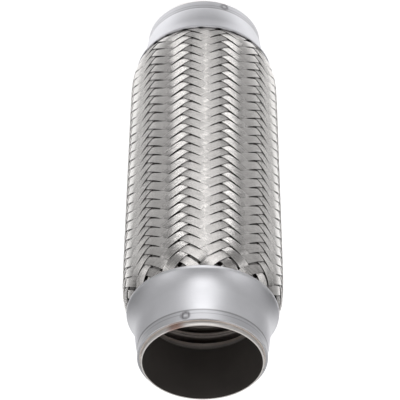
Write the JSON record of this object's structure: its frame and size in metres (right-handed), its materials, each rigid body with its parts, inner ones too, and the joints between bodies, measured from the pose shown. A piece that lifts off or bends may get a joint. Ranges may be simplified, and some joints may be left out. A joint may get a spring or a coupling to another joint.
{
  "type": "exhaust flex pipe",
  "caption": "Flexible exhaust connector: a steel bellows inside a woven steel braid, with an inner sleeve and a trumpet-shaped pressed end cap at each round mouth.",
  "frame": {"origin": "centre of the lower mouth's rim, which the pipe stands on", "axes": "+Z along the pipe's axis, from the lower mouth to the upper one; -Y is the side that the picture shows"},
  "size_m": [0.071, 0.071, 0.202],
  "materials": {
    "sleeve_steel": "rolled stainless tube, warm grey, dark inside",
    "bellows_steel": "formed stainless sheet, dull",
    "braid_wire": "bright drawn stainless wire",
    "cap_steel": "satin pressed steel, faintly blue"
  },
  "bodies": {
    "root": {"lower_inner_sleeve": "sleeve_steel", "upper_inner_sleeve": "sleeve_steel", "bellows": "bellows_steel", "braid": "braid_wire", "lower_end_cap": "cap_steel", "upper_end_cap": "cap_steel"}
  },
  "joints": []
}
